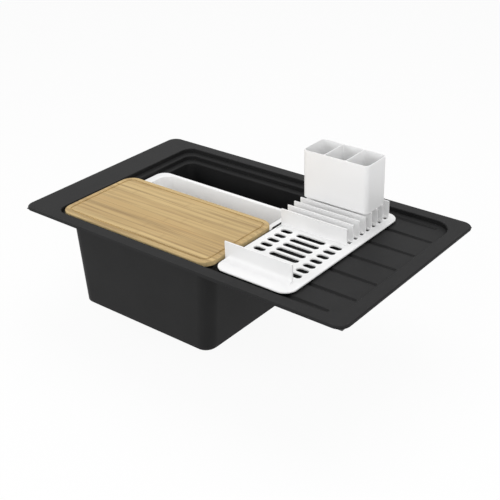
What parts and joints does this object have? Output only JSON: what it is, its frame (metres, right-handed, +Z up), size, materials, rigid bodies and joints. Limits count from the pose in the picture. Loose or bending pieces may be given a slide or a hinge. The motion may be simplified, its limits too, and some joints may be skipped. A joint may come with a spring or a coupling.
{
  "type": "workstation kitchen sink",
  "caption": "Inset composite kitchen sink with a stepped bowl and drainer, on which a chopping board and colander slide and a drying rack and cutlery holder stand",
  "frame": {"origin": "centre of the worktop cut-out, on the worktop's top face (the rim's underside)", "axes": "+X along the sink towards the drainer, +Y to the back, +Z up"},
  "size_m": [0.86, 0.5, 0.4455],
  "materials": {
    "composite": "matt, very fine grain",
    "white_plastic": "satin",
    "bamboo": "oiled, fine strips along the length",
    "steel": "brushed",
    "black_plastic": "satin",
    "rubber": "matt",
    "foam": "matt foam strip"
  },
  "bodies": {
    "sink": {"sink_body": "composite", "rim_seal": "foam", "waste_flange": "steel", "flange_gasket": "rubber", "body_gasket": "rubber", "waste_body": "black_plastic", "clamp_screw": "steel", "overflow_cover": "steel", "overflow_screw": "steel", "overflow_gasket": "rubber", "overflow_housing": "black_plastic", "overflow_pipe": "black_plastic", "overflow_nuts": "black_plastic"},
    "board": {"chopping_board": "bamboo"},
    "tray": {"colander": "white_plastic"},
    "rack": {"drying_rack": "white_plastic", "rack_feet": "rubber"},
    "holder": {"cutlery_holder": "white_plastic"},
    "basket": {"strainer_basket": "steel", "basket_seal": "rubber", "basket_knob": "black_plastic"}
  },
  "joints": [
    {"name": "board_slide", "type": "slide", "parent": "sink", "child": "board", "axis": [0, 1, 0], "range_m": [0, 0.212]},
    {"name": "tray_slide", "type": "slide", "parent": "sink", "child": "tray", "axis": [0, 1, 0], "range_m": [-0.115, 0.091]},
    {"name": "rack_lift", "type": "slide", "parent": "sink", "child": "rack", "axis": [0, 0, 1], "range_m": [0, 0.25]},
    {"name": "holder_lift", "type": "slide", "parent": "rack", "child": "holder", "axis": [0, 0, 1], "range_m": [0, 0.2]},
    {"name": "basket_lift", "type": "slide", "parent": "sink", "child": "basket", "axis": [0, 0, 1], "range_m": [0, 0.1]}
  ]
}
